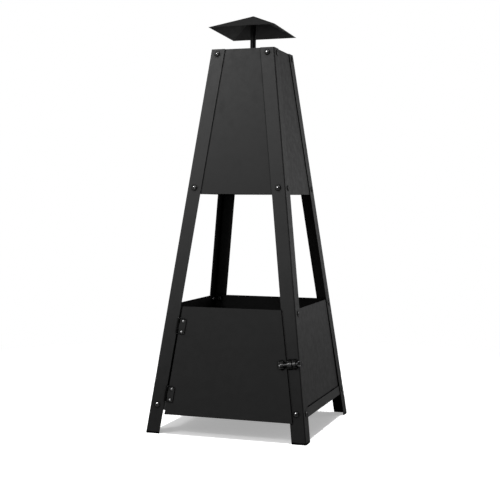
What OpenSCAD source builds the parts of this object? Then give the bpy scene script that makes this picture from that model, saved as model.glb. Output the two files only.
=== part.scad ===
// Chiminea: a tall tapered open fire frame of folded sheet steel.
// Millimetres, +Z up, front (door) face towards -Y.
// Origin: centre of the square that the four feet make on the ground.
// Each of the four sides is a flat plane leaning inwards. The module on_face
// puts its children in that plane: x to the right seen from outside, y up the
// slope, z out of the face. Sides are numbered 0 front, 1 right, 2 back, 3 left.

/* [Frame] */
// Outer width of the square footprint
base_w = 450; // [430:5:470]
// Outer width of the square at the top of the legs
top_w = 180; // [170:5:190]
// Height of the legs
leg_h = 1040; // [1020:5:1060]
// Width of each flange of the folded legs
flange_w = 39; // [39:0.5:40]
// Sheet thickness of the legs
leg_t = 2; // [1.8:0.1:2.2]
// Outside radius of the fold along each leg
bend_r = 4; // [3:0.5:4.5]

/* [Panels] */
// Sheet thickness of the hood, box panels and tray
panel_t = 1.2; // [1:0.1:1.4]
// Height of the lower edge of the hood
hood_z0 = 645; // [620:5:650]
// Height of the upper edge of the box panels
box_z1 = 343; // [338:1:350]
// Height of the upper edge of the tray lip
lip_z1 = 87; // [86:1:90]
// Height of the top surface of the tray floor
tray_z = 64; // [60:1:66]

/* [Door] */
// Height of the lower edge of the door
door_z0 = 52; // [48:1:56]
// Height of the upper edge of the door
door_z1 = 341; // [336:1:345]
// Sheet thickness of the door
door_t = 1.5; // [1.2:0.1:1.6]
// Gap between the left leg flange and the door, where the hinge barrels sit
gap_hinge = 6.5; // [6.3:0.1:7]
// Overlap of the door on the right leg at its lower corner
lap_low = 6.5; // [5.5:0.5:6.5]
// Overlap of the door on the right leg at its upper corner
lap_high = 0.5; // [0:0.1:1]

/* [Rain cap] */
// Width of the square cap
cap_w = 192; // [185:1:200]
// Height of the cap's rim above the ground
cap_z = 1095; // [1085:1:1100]
// Height of the cap's pyramid
cap_rise = 46; // [42:1:50]
// Lean of the cap towards its back edge, in degrees
cap_tilt = 3; // [0:0.5:4]
// Turn of the cap on its post, in degrees
cap_turn = -1.5; // [-3:0.5:3]
// Diameter of the post that carries the cap
post_d = 16; // [15:0.5:18]

/* [Hardware] */
// Shank diameter of the frame bolts
bolt_d = 6; // [5.8:0.1:6.2]
// Head diameter of the frame bolts
bolt_head_d = 13.5; // [12:0.5:14]
// Distance of the frame bolts from the fold of the leg
bolt_in = 20; // [19.5:0.1:20.5]
// Length of each door hinge
hinge_l = 40; // [39:0.5:41]
// Diameter of the latch rod
rod_d = 7; // [6.5:0.1:7.5]

/* [Fire grate] */
// Width of the square fire grate
grate_w = 290; // [270:5:300]
// Diameter of the grate rods
grate_rod = 6; // [5:0.5:7]

/* [Hidden] */
half_base = base_w / 2;
half_top = top_w / 2;
side_lean = atan((half_base - half_top) / leg_h);
fold_slant = atan(sin(side_lean));           // fold line from upright, within its side
fold_lean = atan(sqrt(2) * tan(side_lean));  // fold line from upright, along the diagonal
fold_half = acos(-sin(side_lean) * sin(side_lean)) / 2; // half the angle between two sides
seam = 6.2;                                  // panels stop this far short of a fold
seat = 0.03;                                 // paint between two faces that bear on each other
head_gap = 0.02;                             // gap under screw and rivet heads
bolt_r = bolt_d / 2;
bolt_hole_r = bolt_r + 0.3;

// heights of the frame bolts
z_hood_top = leg_h - 14;
z_hood_low = hood_z0 + 16;
z_box_top = box_z1 - 11;
z_tray = 76;

// half width of a side at a distance up its slope
function half_width(up) = half_base - up * sin(side_lean);
// distance up the slope for a height above the ground
function slope(z) = z / cos(side_lean);

black_steel = [0.2, 0.2, 0.21];
hood_steel = [0.24, 0.24, 0.25];
box_steel = [0.22, 0.22, 0.23];
tray_steel = [0.16, 0.16, 0.17];
grate_steel = [0.13, 0.13, 0.13];
leaf_steel = [0.25, 0.25, 0.26];
bright_steel = [0.5, 0.5, 0.52];
screw_steel = [0.45, 0.45, 0.46];
bolt_steel = [0.3, 0.3, 0.31];
zinc = [0.55, 0.55, 0.56];

// ---------------------------------------------------------------- frames and holes

// the plane of side k
module on_face(k)
  rotate([0, 0, 90 * k]) translate([0, -half_base, 0]) rotate([90 - side_lean, 0, 0]) children();

// in the front side, x from its left (-1) or right (1) fold line and y along that line
module at_fold(side)
  on_face(0) translate([side * half_base, 0, 0]) rotate([0, 0, side * fold_slant]) children();

// a place for a bolt on side k at height z, at its left (-1) or right (1) flange
module at_bolt(k, z, side)
  on_face(k)
    translate([side * (half_width(slope(z)) - bolt_in / cos(fold_slant)), slope(z), 0])
      children();

// bolt places at both flanges of several sides and heights
module at_bolts(sides, heights)
  for (k = sides, z = heights, side = [-1, 1]) at_bolt(k, z, side) children();

// a round cutter reaching below and above z = 0
module drill(radius, below, above, facets = 32)
  translate([0, 0, -below]) cylinder(r = radius, h = below + above, $fn = facets);

// ---------------------------------------------------------------- legs

bend_x = bend_r / sin(fold_half);  // centre of the bend, from the sharp fold
bend_sweep = 90 - fold_half;       // half the angle the bend turns through
bend_steps = 10;

function bend_arc(radius, from, to) =
  [for (i = [0:bend_steps]) let (a = from + (to - from) * i / bend_steps)
    [bend_x + radius * cos(a), radius * sin(a)]];
function flip(point) = [point[0], -point[1]];

// section of a folded leg: the fold at the origin, both flanges away along +x
module leg_section() {
  outer_tip = flange_w * [cos(fold_half), sin(fold_half)];
  inner_tip = outer_tip + leg_t * [sin(fold_half), -cos(fold_half)];
  polygon(concat(
    [inner_tip, outer_tip],
    bend_arc(bend_r, 180 - bend_sweep, 180 + bend_sweep),
    [flip(outer_tip), flip(inner_tip)],
    bend_arc(bend_r - leg_t, 180 + bend_sweep, 180 - bend_sweep)));
}

// an overlong leg along its fold line, cut level at the ground and the top
module leg_blank(k)
  intersection() {
    rotate([0, 0, 90 * k]) translate([-half_base, -half_base, 0])
      rotate([0, 0, 45]) rotate([0, fold_lean, 0])
        translate([0, 0, -60]) linear_extrude(height = leg_h + 200) leg_section();
    translate([-half_base - 10, -half_base - 10, 0]) cube([base_w + 20, base_w + 20, leg_h]);
  }

// holes in one flange on side k; the front has no box panel
module flange_holes(k, side)
  for (z = concat([z_hood_top, z_hood_low, z_tray], k == 0 ? [] : [z_box_top]))
    at_bolt(k, z, side) drill(bolt_hole_r, 6, 6, 48);

// leg k stands at the left end of side k and the right end of side k + 3
module leg(k)
  difference() {
    leg_blank(k);
    flange_holes(k, -1);
    flange_holes((k + 3) % 4, 1);
    if (k == 1)
      at_rivets() drill(rivet_hole_r, 6, 6);
  }

module leg_front_left() color(black_steel) leg(0);
module leg_front_right() color(black_steel) leg(1);
module leg_back_right() color(black_steel) leg(2);
module leg_back_left() color(black_steel) leg(3);

// ---------------------------------------------------------------- panels

slot_h = 2.4;         // draught slot above the tray lip
slot_over_lip = 0.6;
slot_from_leg = 2;    // the slot runs this far behind the leg flanges
// lean that carries the lower part of a box panel in behind the tray lip
box_lean = atan(panel_t / (slope(box_z1) - slope(lip_z1)) * 1.06);

// a sheet in the plane of a side, between two distances up the slope
module sheet(low, high, inset)
  linear_extrude(height = panel_t)
    polygon([[-half_width(low) + inset, low], [half_width(low) - inset, low],
             [half_width(high) - inset, high], [-half_width(high) + inset, high]]);

module hood_panel(k)
  difference() {
    on_face(k) translate([0, 0, -leg_t - seat - panel_t])
      sheet(slope(hood_z0), slope(leg_h - 0.4), seam);
    at_bolts([k], [z_hood_top, z_hood_low]) drill(bolt_hole_r, 10, 2, 48);
  }

module hood_panel_front() color(hood_steel) hood_panel(0);
module hood_panel_right() color(hood_steel) hood_panel(1);
module hood_panel_back() color(hood_steel) hood_panel(2);
module hood_panel_left() color(hood_steel) hood_panel(3);

// the box panels touch the legs at their top edge and tuck inside the tray lip
module box_panel(k) {
  top = slope(box_z1);
  lip = slope(lip_z1);
  slot_half = half_width(lip) - flange_w / cos(fold_slant) + slot_from_leg;
  difference() {
    on_face(k) translate([0, top, -leg_t - seat])
      rotate([box_lean, 0, 0]) translate([0, -top, -panel_t])
        difference() {
          sheet(slope(tray_z + 2), top, seam);
          translate([-slot_half, lip + slot_over_lip, -1])
            cube([2 * slot_half, slot_h, panel_t + 2]);
        }
    at_bolts([k], [z_box_top, z_tray]) drill(bolt_hole_r, 12, 2, 48);
  }
}

module box_panel_right() color(box_steel) box_panel(1);
module box_panel_back() color(box_steel) box_panel(2);
module box_panel_left() color(box_steel) box_panel(3);

// folded tray: a flat floor and four upturned lips with open corners
module fire_tray() {
  half = half_base - tray_z * tan(side_lean) - (leg_t + panel_t / 2) / cos(side_lean);
  short = half - 7;  // the floor's corners are cut off
  floor_z = tray_z - panel_t;
  trim = 10;
  color(tray_steel)
  difference() {
    union() {
      translate([0, 0, floor_z]) linear_extrude(height = panel_t)
        polygon([[-short, -half], [short, -half], [half, -short], [half, short],
                 [short, half], [-short, half], [-half, short], [-half, -short]]);
      for (k = [0:3])
        on_face(k) translate([0, 0, -leg_t - seat - panel_t])
          sheet(slope(tray_z - 1), slope(lip_z1), seam + 1);
    }
    // keeps the lips from reaching below the floor
    translate([-half_base, -half_base, floor_z - trim]) cube([base_w, base_w, trim]);
    at_bolts([0:3], [z_tray]) drill(bolt_hole_r, 10, 2, 48);
  }
}

// ---------------------------------------------------------------- fire grate

grate_clear = 25;        // from the tray floor to the underside of the cross bars
grate_bar_w = 16;
grate_bar_t = 4;
grate_bar_in = 30;       // outer bars, from the ends of the rods
grate_rods = 11;
grate_rod_in = 8;        // outer rods, from the ends of the bars
grate_rod_sink = 0.8;    // rods sink this far into the bars
grate_foot_w = 12;
grate_foot_in = [12, 24]; // feet, from the grate's edges in x and y

// lift-out grate: round rods on three flat bars with four feet
module fire_grate() {
  half = grate_w / 2;
  bar_z = tray_z + grate_clear;
  rod_z = bar_z + grate_bar_t + grate_rod / 2 - grate_rod_sink;
  pitch = (grate_w - 2 * grate_rod_in) / (grate_rods - 1);
  foot = half - grate_foot_w;
  color(grate_steel)
  union() {
    for (y = [-half + grate_bar_in, 0, half - grate_bar_in])
      translate([-half, y - grate_bar_w / 2, bar_z]) cube([grate_w, grate_bar_w, grate_bar_t]);
    for (i = [0:grate_rods - 1])
      translate([-half + grate_rod_in + i * pitch, -half, rod_z])
        rotate([-90, 0, 0]) cylinder(r = grate_rod / 2, h = grate_w, $fn = 32);
    for (x = [-half + grate_foot_in[0], foot - grate_foot_in[0]],
         y = [-half + grate_foot_in[1], foot - grate_foot_in[1]])
      translate([x, y, tray_z]) cube([grate_foot_w, grate_foot_w, grate_clear + 1]);
  }
}

// ---------------------------------------------------------------- door

door_back = 0.1;                   // inside face of the door, out of the leg face
door_face = door_back + door_t;    // outside face of the door

module door() {
  low = slope(door_z0);
  high = slope(door_z1);
  left_in = (flange_w + gap_hinge) / cos(fold_slant);
  right_in_low = (flange_w - lap_low) / cos(fold_slant);
  right_in_high = (flange_w - lap_high) / cos(fold_slant);
  color(black_steel)
  difference() {
    on_face(0) translate([0, 0, door_back]) linear_extrude(height = door_t)
      polygon([[-half_width(low) + left_in, low], [half_width(low) - right_in_low, low],
               [half_width(high) - right_in_high, high], [-half_width(high) + left_in, high]]);
    at_hinge_screws() drill(hinge_screw_hole_r, 6, 6);
    at_keeper_screw() drill(keeper_hole_r, 6, 6);
  }
}

// a small self-tapping pan-head screw with a cross recess, head on the plane z = under
module small_screw(under, head_r, shank_r) {
  head_h = 2;
  depth = 3;
  dome_r = head_r * 1.28;
  recess_half = head_r * 0.55;
  recess_w = 0.8;
  difference() {
    union() {
      intersection() {
        translate([0, 0, under + head_gap + head_h - dome_r]) sphere(r = dome_r, $fn = 64);
        translate([0, 0, under + head_gap]) cylinder(r = head_r, h = 3, $fn = 48);
      }
      translate([0, 0, -depth]) cylinder(r = shank_r, h = depth + under + 0.5, $fn = 32);
    }
    for (turn = [0, 90])
      rotate([0, 0, turn]) translate([-recess_half, -recess_w / 2, under + 1.1])
        cube([2 * recess_half, recess_w, 3]);
  }
}

// ---------------------------------------------------------------- hinges

hinge_x = flange_w + gap_hinge / 2;  // hinge axis, from the fold line
hinge_out = 0.8;                     // hinge axis, out of the face
hinge_low = 114.2;                   // hinge centres, along the fold line
hinge_high = 298.8;
barrel_r = 2.6;
pin_r = 1.4;
pin_head_r = 2.1;
pin_hole_r = pin_r + 0.05;
knuckle = hinge_l / 3;
knuckle_gap = 0.2;
web_gap = 0.4;                       // a leaf's web, short of the end of the knuckle's pitch
leaf_t = 1.2;
leg_leaf_reach = 15;                 // from the hinge axis to the hidden edge
leg_leaf_l = 29;
hinge_screw_x = 12.3;                // from the hinge axis
hinge_screw_y = 14.5;                // either side of the hinge's centre
hinge_screw_hole_r = 2.1;

module at_hinge(y) at_fold(-1) translate([hinge_x, y, 0]) children();

// in a hinge's frame
module at_leaf_screws()
  for (s = [-hinge_screw_y, hinge_screw_y]) translate([hinge_screw_x, s, 0]) children();

module at_hinge_screws()
  for (y = [hinge_low, hinge_high]) at_hinge(y) at_leaf_screws() children();

// a cylinder on the hinge axis
module barrel(y0, y1, radius)
  translate([0, y0, hinge_out]) rotate([-90, 0, 0]) cylinder(r = radius, h = y1 - y0, $fn = 48);

// fixed leaf: spot-welded behind the leg flange, with the two outer knuckles
module leg_leaf(y)
  at_hinge(y)
  difference() {
    union() {
      for (s = [0, 1]) mirror([0, s, 0]) {
        barrel(knuckle / 2 + knuckle_gap, hinge_l / 2, barrel_r);
        translate([-gap_hinge / 2 + 0.1, knuckle / 2 + web_gap, -leg_t - leaf_t])
          cube([gap_hinge / 2, 7.4, leg_t + leaf_t]);
      }
      translate([-leg_leaf_reach, -leg_leaf_l / 2, -leg_t - leaf_t])
        cube([leg_leaf_reach - gap_hinge / 2 + 0.2, leg_leaf_l, leaf_t]);
    }
    barrel(-hinge_l, hinge_l, pin_hole_r);
  }

// moving leaf: screwed to the outside of the door, with the middle knuckle
module door_leaf(y)
  at_hinge(y)
  difference() {
    union() {
      barrel(-knuckle / 2 + knuckle_gap, knuckle / 2 - knuckle_gap, barrel_r);
      translate([0, -knuckle / 2 + web_gap, door_face])
        cube([8, knuckle - 2 * web_gap, leaf_t]);
      translate([3.4, -hinge_l / 2 + 0.5, door_face]) cube([17, hinge_l - 1, leaf_t]);
    }
    barrel(-hinge_l, hinge_l, pin_hole_r);
    at_leaf_screws() drill(hinge_screw_hole_r, 1, 6);
  }

// pin with a thin head at each end
module hinge_pin(y)
  at_hinge(y) union() {
    barrel(-hinge_l / 2 - 0.6, hinge_l / 2 + 0.6, pin_r);
    barrel(hinge_l / 2 + 0.1, hinge_l / 2 + 1.1, pin_head_r);
    barrel(-hinge_l / 2 - 1.1, -hinge_l / 2 - 0.1, pin_head_r);
  }

module hinge_leg_leaf_upper() color(leaf_steel) leg_leaf(hinge_high);
module hinge_leg_leaf_lower() color(leaf_steel) leg_leaf(hinge_low);
module hinge_door_leaf_upper() color(leaf_steel) door_leaf(hinge_high);
module hinge_door_leaf_lower() color(leaf_steel) door_leaf(hinge_low);
module hinge_pin_upper() color(bright_steel) hinge_pin(hinge_high);
module hinge_pin_lower() color(bright_steel) hinge_pin(hinge_low);

module hinge_screws()
  color(screw_steel) at_hinge_screws()
    small_screw(under = door_face + leaf_t, head_r = 3.6, shank_r = 2);

// ---------------------------------------------------------------- latch

// x is measured from the right fold line, so it is negative towards the door
latch_y = 209;               // latch centre, along the fold line
rod_out = 7.2;               // rod axis, out of the face
rod_r = rod_d / 2;
latch_plate_t = 1.2;
saddle_foot = 8.8;           // half width of the saddles' feet
rivet_x = [-33, -17.3];
rivet_y = [-7.8, 7.8];
rivet_hole_r = 1.6;
keeper_screw_at = [-54, -1];
keeper_hole_r = 1.6;
keeper_base = door_face + 0.02;

module at_latch() at_fold(1) translate([0, latch_y, 0]) children();
module at_latch_rivets() for (x = rivet_x, y = rivet_y) translate([x, y, 0]) children();
module at_rivets() at_latch() at_latch_rivets() children();
module at_keeper_screw()
  at_latch() translate([keeper_screw_at[0], keeper_screw_at[1], 0]) children();

// a cylinder on the rod axis
module rod(x0, x1, radius)
  translate([x0, 0, rod_out]) rotate([0, 90, 0]) cylinder(r = radius, h = x1 - x0, $fn = 48);

// a flat plate across the latch, its underside at base
module latch_plate(x0, length, width, base)
  translate([x0, -width / 2, base]) cube([length, width, latch_plate_t]);

// a saddle over the rod: wide feet sunk in a plate whose face is at plate_face, and a barrel
module saddle(x0, x1, plate_face, radius) {
  foot_z = plate_face - 0.6;
  foot_top = rod_out - 1.4;
  union() {
    rod(x0, x1, radius);
    translate([x0, -saddle_foot, foot_z]) cube([x1 - x0, 2 * saddle_foot, foot_top - foot_z]);
  }
}

// base plate with two guide saddles, riveted to the right leg
module latch_housing()
  color(hood_steel)
  at_latch() difference() {
    union() {
      latch_plate(x0 = -35.2, length = 28.2, width = 20.8, base = 0);
      for (span = [[-30.6, -19.6], [-15, -8.4]])
        saddle(span[0], span[1], plate_face = latch_plate_t, radius = 6.6);
    }
    rod(-60, 10, rod_r + 0.06);
    at_latch_rivets() drill(rivet_hole_r, 1, 3);
  }

// domed head on the plate, shank, and a flat tail behind the leg
module latch_rivets() {
  head_z = latch_plate_t + head_gap;
  head_h = 1.2;
  dome_r = 2.6;
  color(screw_steel)
  at_rivets() union() {
    intersection() {
      translate([0, 0, head_z + head_h - dome_r]) sphere(r = dome_r, $fn = 48);
      translate([0, 0, head_z]) cylinder(r = 2.1, h = 2, $fn = 32);
    }
    translate([0, 0, -leg_t - 0.3]) cylinder(r = 1.5, h = leg_t + 1.8, $fn = 32);
    translate([0, 0, -leg_t - 1]) cylinder(r = 2.3, h = 1 - head_gap, $fn = 32);
  }
}

// sliding rod with a pull ring at its outer end
module latch_bolt() {
  ring_x = 1.8;
  ring_r = 6.1;       // to the middle of the ring's wire
  ring_wire_r = 2.1;
  color(bright_steel)
  at_latch() union() {
    rod(-51, -4.6, rod_r);
    translate([ring_x, 0, rod_out]) rotate_extrude($fn = 64)
      translate([ring_r, 0]) circle(r = ring_wire_r, $fn = 40);
  }
}

// saddle on the door that takes the end of the rod
module latch_keeper()
  color(hood_steel)
  at_latch() difference() {
    union() {
      latch_plate(x0 = -57.4, length = 15.2, width = 18.8, base = keeper_base);
      saddle(-50.4, -43, plate_face = keeper_base + latch_plate_t, radius = 5.3);
    }
    rod(-60, 10, rod_r + 0.3);
    translate([keeper_screw_at[0], keeper_screw_at[1], 0]) drill(keeper_hole_r, 1, 6);
  }

module keeper_screw()
  color(screw_steel) at_keeper_screw()
    small_screw(under = keeper_base + latch_plate_t, head_r = 2.7, shank_r = 1.5);

// ---------------------------------------------------------------- frame bolts

nut_h = 5;

// domed bolt with a hexagon socket: head outside, shank into the frame
module bolt(shank) {
  rise = 2.8;
  rim = 0.7;
  head_r = bolt_head_d / 2;
  dome_r = (head_r * head_r + rise * rise) / (2 * rise);
  difference() {
    union() {
      intersection() {
        translate([0, 0, rim + rise - dome_r]) sphere(r = dome_r, $fn = 96);
        cylinder(r = head_r - 0.05, h = 6, $fn = 64);
      }
      translate([0, 0, -shank]) cylinder(r = bolt_r, h = shank + 0.5, $fn = 48);
    }
    translate([0, 0, 1.4]) cylinder(r = 2.3, h = 6, $fn = 6);
  }
}

// hexagon nut, its outer face at a depth inside the leg face
module nut(depth)
  translate([0, 0, -depth - nut_h]) difference() {
    cylinder(r = 5.77, h = nut_h, $fn = 6);
    drill(bolt_r + 0.04, 1, nut_h + 1, 48);
  }

module hood_bolts() color(bolt_steel) at_bolts([0:3], [z_hood_top, z_hood_low]) bolt(11.5);
module hood_nuts()
  color(zinc) at_bolts([0:3], [z_hood_top, z_hood_low]) nut(leg_t + panel_t + 2 * seat);
module box_bolts() color(bolt_steel) at_bolts([1:3], [z_box_top]) bolt(11.5);
module box_nuts() color(zinc) at_bolts([1:3], [z_box_top]) nut(leg_t + panel_t + 0.16);
module tray_bolts() color(bolt_steel) at_bolts([0:3], [z_tray]) bolt(12);

// at the front the nuts bear on the tray lip, elsewhere on the box panel behind it
module tray_nuts()
  color(zinc) {
    at_bolts([0], [z_tray]) nut(leg_t + panel_t + 2 * seat);
    at_bolts([1:3], [z_tray]) nut(leg_t + 2 * panel_t + 0.2);
  }

// ---------------------------------------------------------------- rain cap

strap_z = leg_h - 40;    // underside of the cap bracket
strap_w = 25;
strap_t = 3;
tab_w = 30;              // turned-down ends of the bracket
tab_t = 2;
tab_drop = 16;
washer_t = 1.6;
post_bolt_head_h = 5.3;
cap_half = cap_w / 2;
cap_sheet_h = panel_t / cos(atan(cap_rise / cap_half)); // cap sheet measured upright
plate_half = 22;
plate_t = 2;
// underside of the mount plate above the rim, so its top edges sit just under the cap
plate_z = cap_rise * (1 - plate_half / cap_half) - cap_sheet_h - plate_t - 0.1;

// flat bar across the top of the hood, its ends turned down and welded to the side panels
module cap_bracket() {
  panel_in = leg_t + panel_t + 2 * seat;  // inside of the hood panels, in from the leg face
  end = half_base - strap_z * tan(side_lean) - panel_in / cos(side_lean) - 1;
  tab_low = slope(strap_z - tab_drop);
  color(black_steel)
  difference() {
    union() {
      translate([-end, -strap_w / 2, strap_z]) cube([2 * end, strap_w, strap_t]);
      for (k = [1, 3])
        on_face(k) translate([-tab_w / 2, tab_low, -panel_in - tab_t])
          cube([tab_w, slope(strap_z + 2) - tab_low, tab_t]);
    }
    translate([0, 0, strap_z - 1]) cylinder(r = 4.4, h = 6, $fn = 48);
  }
}

// the cap leans and turns about the middle of its rim
module at_cap() translate([0, 0, cap_z]) rotate([-cap_tilt, 0, cap_turn]) children();

// round post, bored for its bolt and cut off to the lean of the mount plate
module cap_post()
  color(bolt_steel)
  difference() {
    translate([0, 0, strap_z + strap_t])
      cylinder(r = post_d / 2, h = plate_z + cap_z - strap_z, $fn = 64);
    translate([0, 0, strap_z + 2]) cylinder(r = 4.04, h = 27, $fn = 48);
    at_cap() translate([-50, -50, plate_z - seat]) cube([100, 100, 100]);
  }

module cap_post_washer()
  color(zinc)
  translate([0, 0, strap_z - washer_t]) difference() {
    cylinder(r = 9, h = washer_t, $fn = 64);
    drill(4.3, 1, 3, 48);
  }

// hexagon head under the washer, shank up into the post
module cap_post_bolt()
  color(zinc)
  union() {
    translate([0, 0, strap_z - washer_t - post_bolt_head_h])
      cylinder(r = 7.5, h = post_bolt_head_h, $fn = 6);
    translate([0, 0, strap_z - washer_t - 1]) cylinder(r = 4, h = 26, $fn = 48);
  }

module cap_mount_plate()
  color(black_steel)
  at_cap() translate([-plate_half, -plate_half, plate_z])
    cube([2 * plate_half, 2 * plate_half, plate_t]);

// a triangle of given half width, base height and peak height, extruded along y
module gable(half, base, peak)
  rotate([90, 0, 0]) translate([0, 0, -cap_w]) linear_extrude(height = 2 * cap_w)
    polygon([[-half, base], [half, base], [0, peak]]);

// a square pyramid as two crossed gables
module pyramid(half, base, peak)
  intersection() {
    gable(half, base, peak);
    rotate([0, 0, 90]) gable(half, base, peak);
  }

// square pyramid of sheet, open underneath
module rain_cap() {
  below = 2;  // the hollow is cut from this far below the rim
  hollow_half = cap_half * (1 - (cap_sheet_h - below) / cap_rise);
  color(black_steel)
  at_cap() difference() {
    pyramid(cap_half, 0, cap_rise);
    pyramid(hollow_half, -below, cap_rise - cap_sheet_h);
  }
}

// ---------------------------------------------------------------- nodes

leg_front_left();
leg_front_right();
leg_back_right();
leg_back_left();
hood_panel_front();
hood_panel_right();
hood_panel_back();
hood_panel_left();
box_panel_right();
box_panel_back();
box_panel_left();
fire_tray();
fire_grate();
door();
hinge_leg_leaf_upper();
hinge_leg_leaf_lower();
hinge_door_leaf_upper();
hinge_door_leaf_lower();
hinge_pin_upper();
hinge_pin_lower();
hinge_screws();
latch_housing();
latch_rivets();
latch_bolt();
latch_keeper();
keeper_screw();
hood_bolts();
hood_nuts();
box_bolts();
box_nuts();
tray_bolts();
tray_nuts();
cap_bracket();
cap_post();
cap_post_bolt();
cap_post_washer();
cap_mount_plate();
rain_cap();
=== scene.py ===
# A black steel fire box on legs, with a hinged and latched door, a fire tray and grate,
# a hood, and a rain cap on a post. It stands on z = 0 round the Z axis, Z up, in metres.
# The camera looks at it from the -Y side, a little to the +X side.
import math
import random

import bpy
import bmesh
from mathutils import Matrix, Vector


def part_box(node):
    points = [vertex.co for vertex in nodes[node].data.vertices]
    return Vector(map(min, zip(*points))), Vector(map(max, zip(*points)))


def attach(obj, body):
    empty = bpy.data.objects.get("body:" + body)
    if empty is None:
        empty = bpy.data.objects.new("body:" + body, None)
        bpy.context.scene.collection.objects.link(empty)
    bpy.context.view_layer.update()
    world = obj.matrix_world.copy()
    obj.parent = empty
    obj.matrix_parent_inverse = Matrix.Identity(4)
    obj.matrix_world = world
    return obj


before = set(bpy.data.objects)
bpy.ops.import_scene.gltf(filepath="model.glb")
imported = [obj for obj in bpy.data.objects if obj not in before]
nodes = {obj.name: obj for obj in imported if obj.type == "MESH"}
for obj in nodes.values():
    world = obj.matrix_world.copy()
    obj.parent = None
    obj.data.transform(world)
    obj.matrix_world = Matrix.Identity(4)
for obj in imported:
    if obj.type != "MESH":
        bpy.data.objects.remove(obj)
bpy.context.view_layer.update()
scene = bpy.context.scene

# ---------------------------------------------------------------- node helpers

WARM_BLACK = (1.0, 0.98, 0.95)


def grey(value, tint=(1.0, 1.0, 1.0)):
    return (value * tint[0], value * tint[1], value * tint[2], 1.0)


class Graph:
    """Writes the node tree of a material or a world."""

    def __init__(self, owner, output="ShaderNodeOutputMaterial"):
        owner.use_nodes = True
        self.tree = owner.node_tree
        self.tree.nodes.clear()
        self.output = self.add(output)

    def add(self, kind, inputs=None, **props):
        node = self.tree.nodes.new(kind)
        for key, value in props.items():
            setattr(node, key, value)
        for key, value in (inputs or {}).items():
            self.put(node, key, value)
        return node

    def put(self, node, key, value):
        """Link a socket to an input, or set the input to a plain value."""
        if isinstance(value, bpy.types.NodeSocket):
            self.tree.links.new(value, node.inputs[key])
        else:
            node.inputs[key].default_value = value

    def show(self, shader):
        self.put(self.output, 0, shader.outputs[0])

    def math(self, operation, a, b, c=None, clamp=False):
        inputs = {0: a, 1: b}
        if c is not None:
            inputs[2] = c
        return self.add("ShaderNodeMath", inputs, operation=operation, use_clamp=clamp).outputs[0]

    def vector(self, operation, inputs):
        return self.add("ShaderNodeVectorMath", inputs, operation=operation)

    def scale(self, color, factor):
        return self.vector("SCALE", {0: color, "Scale": factor}).outputs[0]

    def split(self, vector):
        return self.add("ShaderNodeSeparateXYZ", {0: vector}).outputs

    def mix(self, factor, a, b):
        node = self.add("ShaderNodeMix", data_type="RGBA")
        for key, value in ((0, factor), (6, a), (7, b)):
            self.put(node, key, value)
        return node.outputs[2]

    def mix_value(self, factor, low, high):
        node = self.add("ShaderNodeMix", data_type="FLOAT")
        for key, value in ((0, factor), (2, low), (3, high)):
            self.put(node, key, value)
        return node.outputs[0]

    def ramp(self, value, lo, hi, to_lo=0.0, to_hi=1.0):
        """Smooth step from to_lo to to_hi as the value goes from lo to hi."""
        node = self.add("ShaderNodeMapRange", interpolation_type="SMOOTHSTEP")
        for key, number in enumerate((value, lo, hi, to_lo, to_hi)):
            self.put(node, key, number)
        return node.outputs[0]

    def grey_ramp(self, value, stops):
        """Colour ramp through (position, grey) stops, in rising order."""
        node = self.add("ShaderNodeValToRGB", {0: value})
        elements = node.color_ramp.elements
        for element, (position, tone) in zip(elements, (stops[0], stops[-1])):
            element.position = position
            element.color = grey(tone)
        for position, tone in stops[1:-1]:
            elements.new(position).color = grey(tone)
        return node.outputs[0]

    def noise(self, coords, scale, detail, rough):
        return self.add("ShaderNodeTexNoise", {"Vector": coords, "Scale": scale,
                                               "Detail": detail, "Roughness": rough}).outputs[0]

    def patches(self, coords, scale, detail, rough, lo, hi):
        """Noise pushed through a smooth step, as a mask."""
        return self.ramp(self.noise(coords, scale, detail, rough), lo, hi)

    def bump(self, height, strength, distance, normal=None):
        inputs = {"Strength": strength, "Distance": distance, "Height": height}
        if normal is not None:
            inputs["Normal"] = normal
        return self.add("ShaderNodeBump", inputs).outputs[0]

    def object_coords(self):
        return self.add("ShaderNodeTexCoord").outputs["Object"]

    def normal(self):
        return self.add("ShaderNodeNewGeometry").outputs["Normal"]

    def openness(self, reach):
        """1 on open surface, less where another surface is within reach."""
        node = self.add("ShaderNodeAmbientOcclusion", {"Distance": reach}, samples=8)
        return node.outputs["AO"]

    def edge_mask(self, radius):
        """Bright where the surface turns a corner within this radius."""
        rounded = self.add("ShaderNodeBevel", {"Radius": radius}, samples=4).outputs[0]
        dot = self.vector("DOT_PRODUCT", {0: rounded, 1: self.normal()}).outputs["Value"]
        return self.ramp(self.math("SUBTRACT", 1.0, dot), lo=0.03, hi=0.25)


# ---------------------------------------------------------------- material kinds

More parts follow.
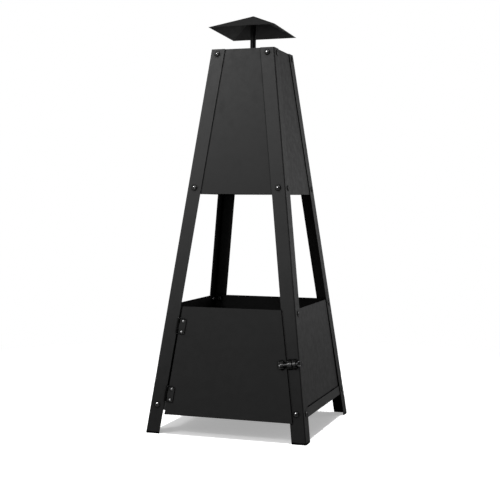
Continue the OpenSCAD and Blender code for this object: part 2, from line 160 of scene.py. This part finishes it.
def paint(name, base, rough, soot_and_shade=0.0, top=None, grain=1.0, spec=0.5, wear=0.25,
          crevice=0.0, reach=0.007, axis=None):
    """Satin paint: fine grain, faint orange peel, slow drifts of tone, thin wear on edges.

    base and top: tone near the ground and at 0.53 m; a rise from base to top is painted light.
    top is the same as base if not given.
    soot_and_shade: how much the faces turned toward the Z axis are darkened and dulled, as soot
    and as painted shade.
    grain: strength of the fine relief. wear: strength of the rubbed line on edges.
    crevice: how much painted shade darkens where parts meet, within reach.
    axis: a point and a unit direction; the barrel round it is made near black as painted shade.
    """
    material = bpy.data.materials.new(name)
    graph = Graph(material)
    coords = graph.object_coords()
    x, y, z = graph.split(coords)

    # tone by height, painted light that is lighter higher up, then slow drifts and pale specks
    # that brighten it by up to 0.6
    color = graph.mix(graph.ramp(z, lo=0.02, hi=0.53), grey(base),
                      grey(base if top is None else top))
    drift = graph.patches(coords, scale=7.0, detail=3.0, rough=0.55, lo=0.3, hi=0.7)
    color = graph.scale(color, graph.mix_value(drift, low=0.92, high=1.12))
    speck = graph.patches(coords, scale=2200.0, detail=2.0, rough=0.7, lo=0.58, hi=0.8)
    color = graph.scale(color, graph.math("MULTIPLY_ADD", speck, 0.6, 1.0))

    # thin rubbed line on folds and cut edges
    edge = graph.edge_mask(radius=0.0007)
    broken = graph.patches(coords, scale=90.0, detail=3.0, rough=0.6, lo=0.42, hi=0.72)
    rub = graph.math("MULTIPLY", edge, broken)
    color = graph.mix(graph.math("MULTIPLY", rub, wear), color, grey(0.06, WARM_BLACK))

    # sheen: clouds, handling smudges 0.05 duller, rubbed edges 0.08 shinier
    smudge = graph.patches(coords, scale=24.0, detail=2.0, rough=0.5, lo=0.58, hi=0.75)
    cloud = graph.patches(coords, scale=60.0, detail=4.0, rough=0.6, lo=0.3, hi=0.7)
    roughness = graph.mix_value(cloud, low=rough - 0.045, high=rough + 0.05)
    roughness = graph.math("ADD", roughness, graph.math("MULTIPLY", smudge, 0.05))
    roughness = graph.math("SUBTRACT", roughness, graph.math("MULTIPLY", rub, 0.08))
    specular = spec

    # soot and painted shade: the faces turned inward are darker, duller and less glossy
    if soot_and_shade > 0:
        normal_x, normal_y, _ = graph.split(graph.normal())
        outward = graph.math("ADD", graph.math("MULTIPLY", normal_x, x),
                             graph.math("MULTIPLY", normal_y, y))
        inside = graph.ramp(outward, lo=-0.01, hi=-0.03)
        patch = graph.patches(coords, scale=14.0, detail=5.0, rough=0.65, lo=0.2, hi=0.75)
        cover = graph.mix_value(patch, low=soot_and_shade * 0.75, high=soot_and_shade)
        amount = graph.math("MULTIPLY", inside, cover, clamp=True)
        color = graph.mix(amount, color, grey(0.0065, WARM_BLACK))
        roughness = graph.mix_value(amount, roughness, high=0.82)
        specular = graph.mix_value(amount, specular, high=0.18)

    # painted shade: darker, duller and less glossy where another surface is within reach
    if crevice > 0:
        corner = graph.ramp(graph.openness(reach), lo=0.965, hi=0.86)
        corner_shade = graph.math("MULTIPLY", corner, crevice)
        color = graph.scale(color, graph.mix_value(corner_shade, low=1.0, high=0.15))
        roughness = graph.mix_value(corner_shade, roughness, high=0.85)
        specular = graph.mix_value(corner_shade, specular, high=0.02)

    # painted shade: the hinge barrel round the axis is made near black and dull
    if axis is not None:
        point, direction = axis
        offset = graph.vector("SUBTRACT", {0: coords, 1: point}).outputs[0]
        across = graph.vector("CROSS_PRODUCT", {0: offset, 1: direction}).outputs[0]
        distance = graph.vector("LENGTH", {0: across}).outputs["Value"]
        barrel_shade = graph.ramp(distance, lo=0.0033, hi=0.0028)
        color = graph.mix(barrel_shade, color, grey(0.002))
        roughness = graph.mix_value(barrel_shade, roughness, high=0.6)
        specular = graph.mix_value(barrel_shade, specular, high=0.08)

    # relief: equal parts of orange peel and powder grain, over a slow wave in the sheet
    peel = graph.noise(coords, scale=420.0, detail=2.0, rough=0.5)
    fine = graph.noise(coords, scale=1900.0, detail=3.0, rough=0.6)
    height = graph.math("ADD", graph.math("MULTIPLY", peel, 0.5),
                        graph.math("MULTIPLY", fine, 0.5))
    relief = graph.bump(height, strength=0.35 * grain, distance=0.00012)
    wave = graph.noise(coords, scale=5.5, detail=1.0, rough=0.4)
    relief = graph.bump(wave, strength=0.22 if grain >= 1.0 else 0.12, distance=0.0012,
                        normal=relief)

    graph.show(graph.add("ShaderNodeBsdfPrincipled", {
        "Base Color": color, "Roughness": roughness, "Normal": relief,
        "Specular IOR Level": specular}))
    return material


def metal(name, base, rough, tint=(1.0, 1.0, 1.0), metallic=1.0, wear=0.0, corner_shade=0.0):
    """Plated or bare steel with fine grain, mottled tone and bright edges.

    wear: extra brightness on edges. corner_shade: painted shade that darkens the corner by
    another part.
    """
    material = bpy.data.materials.new(name)
    graph = Graph(material)
    coords = graph.object_coords()
    grain = graph.noise(coords, scale=700.0, detail=3.0, rough=0.6)
    mottle = graph.patches(coords, scale=55.0, detail=4.0, rough=0.6, lo=0.3, hi=0.72)
    color = graph.mix(mottle, grey(base * 0.78, tint), grey(base * 1.12, tint))
    edge = graph.math("MULTIPLY", graph.edge_mask(radius=0.0008), 0.35 + wear)
    color = graph.mix(edge, color, grey(min(1.0, base * 1.8 + 0.05), tint))
    roughness = graph.mix_value(graph.ramp(grain, lo=0.3, hi=0.7),
                                low=rough - 0.07, high=rough + 0.08)
    # painted shade: darker where another part is near, as the dark ring round a bolt head
    if corner_shade > 0:
        clear = graph.ramp(graph.openness(reach=0.012), lo=0.72, hi=0.98)
        color = graph.scale(color, graph.mix_value(clear, low=1.0 - corner_shade, high=1.0))
    relief = graph.bump(grain, strength=0.3, distance=0.0001)
    graph.show(graph.add("ShaderNodeBsdfPrincipled", {
        "Base Color": color, "Roughness": roughness, "Metallic": metallic, "Normal": relief}))
    return material


def ash(name):
    """Tray paint dulled by heat, with pale ash dust lying on the flat floor."""
    material = bpy.data.materials.new(name)
    graph = Graph(material)
    coords = graph.object_coords()
    level = graph.ramp(graph.split(graph.normal())[2], lo=0.7, hi=0.95)
    drifts = graph.patches(coords, scale=18.0, detail=6.0, rough=0.65, lo=0.45, hi=0.8)
    dust = graph.math("MULTIPLY", level, drifts)
    mottle = graph.patches(coords, scale=9.0, detail=4.0, rough=0.6, lo=0.3, hi=0.7)
    color = graph.mix(mottle, grey(0.018), grey(0.028, (1.0, 0.99, 0.97)))
    # dust and bare edges each cover at most 0.35 of the paint
    color = graph.mix(graph.math("MULTIPLY", dust, 0.35), color, grey(0.09, (1.0, 0.97, 0.92)))
    edge = graph.edge_mask(radius=0.0012)
    color = graph.mix(graph.math("MULTIPLY", edge, 0.35), color, grey(0.07))
    roughness = graph.mix_value(dust, low=0.4, high=0.9)
    # fine grain everywhere, at 0.6 height, and coarser lumps in the dust
    fine = graph.noise(coords, scale=1500.0, detail=3.0, rough=0.6)
    lumps = graph.noise(coords, scale=240.0, detail=3.0, rough=0.6)
    height = graph.math("ADD", graph.math("MULTIPLY", fine, 0.6),
                        graph.math("MULTIPLY", lumps, dust))
    relief = graph.bump(height, strength=0.35, distance=0.0002)
    graph.show(graph.add("ShaderNodeBsdfPrincipled", {
        "Base Color": color, "Roughness": roughness, "Normal": relief,
        "Specular IOR Level": 0.6}))
    return material


# ---------------------------------------------------------------- materials

# a point on the hinge axis and the axis direction
HINGE_AXIS = ((-0.156731, -0.200123, 0.1978596), (-0.1276742, -0.1276742, -0.9835642))

# one black paint in copies whose tones differ as painted light and shade: the door darker than
# the hood, the post darker as painted shade under the cap, the legs lighter toward the top
leg_paint = paint("leg_paint", base=0.005, rough=0.43, soot_and_shade=0.9, top=0.025, crevice=0.95)
hood_paint = paint("hood_paint", base=0.011, rough=0.44, soot_and_shade=0.95, grain=0.5, crevice=0.35,
                   reach=0.004)
box_paint = paint("box_paint", base=0.012, rough=0.43, soot_and_shade=0.95, grain=0.5, crevice=0.9)
door_paint = paint("door_paint", base=0.009, rough=0.43, soot_and_shade=0.9, crevice=0.95)
cap_paint = paint("cap_paint", base=0.010, rough=0.42)
post_paint = paint("post_paint", base=0.007, rough=0.3)
# the hinge barrel is darkened round its axis as painted shade
hinge_paint = paint("hinge_paint", base=0.012, rough=0.38, grain=0.7, wear=0.5, crevice=0.9,
                    reach=0.004, axis=HINGE_AXIS)
# the latch and the bolt heads are darkened in their corners as painted shade
latch_steel = metal("latch_plate_steel", base=0.14, rough=0.24, metallic=0.9, wear=0.3,
                    corner_shade=0.85)
bolt_oxide = metal("bolt_black_oxide", base=0.12, rough=0.26, metallic=0.9, corner_shade=0.97)
rivet_black = paint("rivet_black", base=0.008, rough=0.22, grain=0.4, wear=0.9, spec=0.6)
tray_ash = ash("tray_paint_ash")
grate_scale = metal("grate_scale", base=0.05, rough=0.55, tint=(1.0, 0.96, 0.92),
                    metallic=0.6, wear=0.1)
rod_steel = metal("latch_rod_steel", base=0.1, rough=0.3, tint=(1.0, 1.0, 1.02),
                  metallic=0.8, wear=0.1)
zinc_plate = metal("zinc_plate", base=0.55, rough=0.32, tint=(1.0, 1.0, 1.03))
screw_zinc = metal("screw_zinc", base=0.6, rough=0.25)
pin_steel = metal("pin_steel", base=0.22, rough=0.35)
weld_steel = metal("weld_bead", base=0.05, rough=0.5, tint=(1.0, 0.97, 0.94), metallic=0.5)

# ---------------------------------------------------------------- finish of each piece

BOLTS = ("hood_bolts", "box_bolts", "tray_bolts")

# whole piece names; these go before the name starts below
NAMED_MATERIALS = {
    "door": door_paint,
    "fire_tray": tray_ash, "fire_grate": grate_scale,
    "rain_cap": cap_paint, "cap_mount_plate": cap_paint, "cap_bracket": cap_paint,
    "cap_post": post_paint,
    "latch_bolt": rod_steel,
    "hinge_screws": screw_zinc, "keeper_screw": screw_zinc,
    **{bolts: bolt_oxide for bolts in BOLTS},
}

# (start of the piece name, material); the first match counts
PREFIX_MATERIALS = (
    ("leg_", leg_paint), ("hood_panel", hood_paint), ("box_panel", box_paint),
    ("latch_rivets", rivet_black), ("latch", latch_steel),
    ("hinge_pin", pin_steel), ("hinge", hinge_paint),
)

# (start of the piece name, width of its edge bevel); the first match counts
BEVEL_WIDTHS = (
    ("leg", 0.00045), ("hood_panel", 0.0003), ("box_panel", 0.0003), ("door", 0.0004),
    ("fire_tray", 0.0003), ("fire_grate", 0.0005),
    ("rain_cap", 0.0005), ("cap_mount", 0.0003), ("cap_bracket", 0.0005), ("cap_post", 0.0006),
    ("hinge", 0.00022), ("keeper", 0.00012),
    ("latch_rivets", 0.00015), ("latch_bolt", 0.0003), ("latch", 0.0003),
    ("hood_nuts", 0.0003), ("box_nuts", 0.0003), ("tray_nuts", 0.0003),
)
OTHER_BEVEL_WIDTH = 0.0002


def first_match(name, table, default):
    return next((value for start, value in table if name.startswith(start)), default)


def material_for(name):
    return NAMED_MATERIALS.get(name) or first_match(name, PREFIX_MATERIALS, zinc_plate)


def clear_custom_normals(piece):
    bpy.context.view_layer.objects.active = piece
    with bpy.context.temp_override(object=piece, active_object=piece, selected_objects=[piece]):
        bpy.ops.mesh.customdata_custom_splitnormals_clear()


def round_edges(piece, width):
    """Join the CAD facets into flats, bevel the sharp edges and even out the shading."""
    weld = piece.modifiers.new("weld", "WELD")
    weld.merge_threshold = 0.000004
    flats = piece.modifiers.new("flats", "DECIMATE")
    flats.decimate_type = "DISSOLVE"
    flats.angle_limit = math.radians(0.15)
    edges = piece.modifiers.new("edges", "BEVEL")
    edges.width = width
    edges.segments = 2
    edges.limit_method = "ANGLE"
    edges.angle_limit = math.radians(32)
    edges.harden_normals = False
    edges.miter_outer = "MITER_ARC"
    normals = piece.modifiers.new("normals", "WEIGHTED_NORMAL")
    normals.mode = "FACE_AREA_WITH_ANGLE"
    normals.weight = 100
    normals.keep_sharp = True


for name, piece in nodes.items():
    piece.data.materials.clear()
    piece.data.materials.append(material_for(name))
    for face in piece.data.polygons:
        face.material_index = 0
        face.use_smooth = True
    if piece.data.has_custom_normals:
        clear_custom_normals(piece)
    round_edges(piece, first_match(name, BEVEL_WIDTHS, OTHER_BEVEL_WIDTH))

# ---------------------------------------------------------------- weld bead

BEAD_RADIUS = 0.0014
BEAD_OUTSET = 0.0006    # bead centre, out from the post's side
BEAD_DROP = 0.0009      # bead centre, down from the post's top
BEAD_CORNERS = 48       # corners of the path round the post
BEAD_SIDES = 10
BEAD_STEP = 0.0006      # least distance between sections, where a side is long enough
RIPPLE = 0.12           # swell of each puddle, as a part of the radius
RIPPLE_PITCH = 0.0022
BEAD_JITTER = 0.06      # random spread of the radius, as a part of it
BEAD_SEED = 3


def circle_angles(count):
    return [2 * math.pi * i / count for i in range(count)]


def weld_ring(name, corners):
    """A closed bead of weld through the corners of a level path, rippled by its puddles."""
    rnd = random.Random(BEAD_SEED)
    path = []
    for i, start in enumerate(corners):
        end = corners[(i + 1) % len(corners)]
        steps = max(1, int((end - start).length / BEAD_STEP))
        path += [start.lerp(end, s / steps) for s in range(steps)]

    mesh_edit = bmesh.new()
    rings = []
    travelled = 0.0
    for i, point in enumerate(path):
        along = (path[(i + 1) % len(path)] - path[i - 1]).normalized()
        across = along.cross(Vector((0, 0, 1))).normalized()
        upright = along.cross(across).normalized()
        if i:
            travelled += (point - path[i - 1]).length
        swell = 1.0 + RIPPLE * math.sin(2 * math.pi * travelled / RIPPLE_PITCH)
        radius = BEAD_RADIUS * swell * (1.0 + BEAD_JITTER * (rnd.random() - 0.5))
        rings.append([
            mesh_edit.verts.new(point + (across * math.cos(a) + upright * math.sin(a)) * radius)
            for a in circle_angles(BEAD_SIDES)])
    for i, ring in enumerate(rings):
        following = rings[(i + 1) % len(rings)]
        for k in range(BEAD_SIDES):
            j = (k + 1) % BEAD_SIDES
            mesh_edit.faces.new((ring[k], ring[j], following[j], following[k]))
    bmesh.ops.recalc_face_normals(mesh_edit, faces=mesh_edit.faces)

    mesh = bpy.data.meshes.new(name)
    mesh_edit.to_mesh(mesh)
    mesh_edit.free()
    for face in mesh.polygons:
        face.use_smooth = True
    bead = bpy.data.objects.new(name, mesh)
    scene.collection.objects.link(bead)
    mesh.materials.append(weld_steel)
    return bead


# round the top of the cap post, under its mount plate
post_lo, post_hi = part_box("cap_post")
post_radius = (post_hi[0] - post_lo[0]) / 2
post_x = (post_hi[0] + post_lo[0]) / 2
post_y = (post_hi[1] + post_lo[1]) / 2
path_radius = post_radius + BEAD_OUTSET
post_weld = weld_ring("weld_post_top", [
    Vector((post_x + path_radius * math.cos(a), post_y + path_radius * math.sin(a),
            post_hi[2] - BEAD_DROP))
    for a in circle_angles(BEAD_CORNERS)])
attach(post_weld, "frame")

# ---------------------------------------------------------------- floor


def floor_material(name):
    """To the camera, a lifted white that fades to pure white; to other rays, dark grey."""
    material = bpy.data.materials.new(name)
    graph = Graph(material)
    distance = graph.vector("LENGTH", {0: graph.object_coords()}).outputs["Value"]
    far = graph.ramp(distance, lo=0.75, hi=1.8)
    white = graph.add("ShaderNodeBsdfDiffuse", {"Color": grey(0.9)})
    lift = graph.add("ShaderNodeEmission", {"Color": grey(1.0), "Strength": 0.36})
    near = graph.add("ShaderNodeAddShader", {0: white.outputs[0], 1: lift.outputs[0]})
    glow = graph.add("ShaderNodeEmission", {"Color": grey(1.0), "Strength": 1.0})
    seen = graph.add("ShaderNodeMixShader", {0: far, 1: near.outputs[0], 2: glow.outputs[0]})
    dim = graph.add("ShaderNodeBsdfDiffuse", {"Color": grey(0.14)})
    camera_ray = graph.add("ShaderNodeLightPath").outputs["Is Camera Ray"]
    graph.show(graph.add("ShaderNodeMixShader",
                         {0: camera_ray, 1: dim.outputs[0], 2: seen.outputs[0]}))
    return material


bpy.ops.mesh.primitive_grid_add(x_subdivisions=2, y_subdivisions=2, size=16.0,
                                location=(0, 0, 0))
floor = bpy.context.object
floor.name = "studio_floor"
floor.data.materials.append(floor_material("studio_floor"))

# ---------------------------------------------------------------- world

# (height of the ray direction, grey) for the sky on the camera's side
SKY_STOPS = ((0.0, 0.16), (0.09, 0.24), (0.20, 0.48), (0.34, 0.60), (0.6, 0.60), (1.0, 0.75))
# the same for the wall behind the object, which is lighter near the floor
WALL_STOPS = ((0.06, 0.46), (0.45, 0.10))


def studio_world():
    """Plain white to the camera; a grey studio to everything else."""
    world = bpy.data.worlds.new("studio")
    scene.world = world
    graph = Graph(world, output="ShaderNodeOutputWorld")
    white = graph.add("ShaderNodeBackground", {"Color": grey(1.0), "Strength": 1.0})
    x, y, z = graph.split(graph.add("ShaderNodeTexCoord").outputs["Generated"])
    sky = graph.grey_ramp(z, SKY_STOPS)
    behind = graph.ramp(y, lo=-0.2, hi=0.35)
    wall = graph.grey_ramp(z, WALL_STOPS)
    room = graph.mix(behind, sky, wall)
    # a dark flag on the +X side in front draws the line down each fold
    right = graph.ramp(x, lo=0.12, hi=0.42, to_hi=0.95)
    front = graph.ramp(y, lo=-0.25, hi=0.25, to_lo=1.0, to_hi=0.0)
    flag = graph.math("MULTIPLY", right, front)
    flagged = graph.scale(room, graph.math("SUBTRACT", 1.0, flag))
    studio = graph.add("ShaderNodeBackground", {"Color": flagged, "Strength": 0.85})
    camera_ray = graph.add("ShaderNodeLightPath").outputs["Is Camera Ray"]
    graph.show(graph.add("ShaderNodeMixShader",
                         {0: camera_ray, 1: studio.outputs[0], 2: white.outputs[0]}))


studio_world()

# ---------------------------------------------------------------- lights

BODY = (0, 0, 0.6)    # the point most lamps aim at


def area(name, location, size, power, size_y=None, target=BODY):
    lamp = bpy.data.lights.new(name, "AREA")
    lamp.energy = power
    lamp.shape = "RECTANGLE"
    lamp.size = size
    lamp.size_y = size_y or size
    light = bpy.data.objects.new(name, lamp)
    scene.collection.objects.link(light)
    light.location = location
    aim = Vector(target) - Vector(location)
    light.rotation_euler = aim.to_track_quat("-Z", "Y").to_euler()
    return light


def light_only(light, collection_name, receivers):
    """Let a light fall on these objects alone."""
    collection = bpy.data.collections.new(collection_name)
    for receiver in receivers:
        collection.objects.link(receiver)
    light.light_linking.receiver_collection = collection


area("key_softbox", location=(-1.9, -2.4, 2.6), size=0.8, power=32)
area("side_strip", location=(2.6, 2.2, 1.3), size=0.6, size_y=1.6, power=7)
area("top_fill", location=(0.1, -0.6, 3.4), size=1.6, power=10, target=(0, 0, 0))
area("glint", location=(-0.35, -3.1, 1.9), size=0.16, power=1.6)

# a small lamp from the upper left that only the bolt heads pick up
spark = area("spark", location=(-1.9, -1.5, 2.7), size=0.4, power=150)
light_only(spark, "bolt_heads_only", [nodes[bolts] for bolts in BOLTS])

# an overhead light for the floor alone, for the footprint shadow
sun = bpy.data.lights.new("overhead", "SUN")
sun.energy = 2.2
sun.angle = math.radians(2.5)
overhead = bpy.data.objects.new("overhead", sun)
scene.collection.objects.link(overhead)
overhead.location = (0, 0, 3)
light_only(overhead, "floor_only", [floor])

# ---------------------------------------------------------------- camera

CAMERA_PLACE = (0.9394, -2.7966, 0.6243)
# in radians: yaw from +Y toward -X, pitch up from level, roll about the view line
YAW, PITCH, ROLL = 0.326, -0.046, 0.0052

forward = Vector((-math.sin(YAW) * math.cos(PITCH), math.cos(YAW) * math.cos(PITCH),
                  math.sin(PITCH)))
level_right = Vector((math.cos(YAW), math.sin(YAW), 0.0))
level_up = level_right.cross(forward).normalized()
right = level_right * math.cos(ROLL) + level_up * math.sin(ROLL)
up = level_up * math.cos(ROLL) - level_right * math.sin(ROLL)

lens = bpy.data.cameras.new("camera")
lens.sensor_width = 36.0
lens.lens = 75.5532
lens.clip_end = 50.0
camera = bpy.data.objects.new("camera", lens)
scene.collection.objects.link(camera)
camera.matrix_world = Matrix((
    *((right[i], up[i], -forward[i], CAMERA_PLACE[i]) for i in range(3)),
    (0, 0, 0, 1)))
scene.camera = camera

scene.view_settings.view_transform = "Standard"
scene.view_settings.look = "None"
scene.view_settings.exposure = 0.0
scene.view_settings.gamma = 1.0
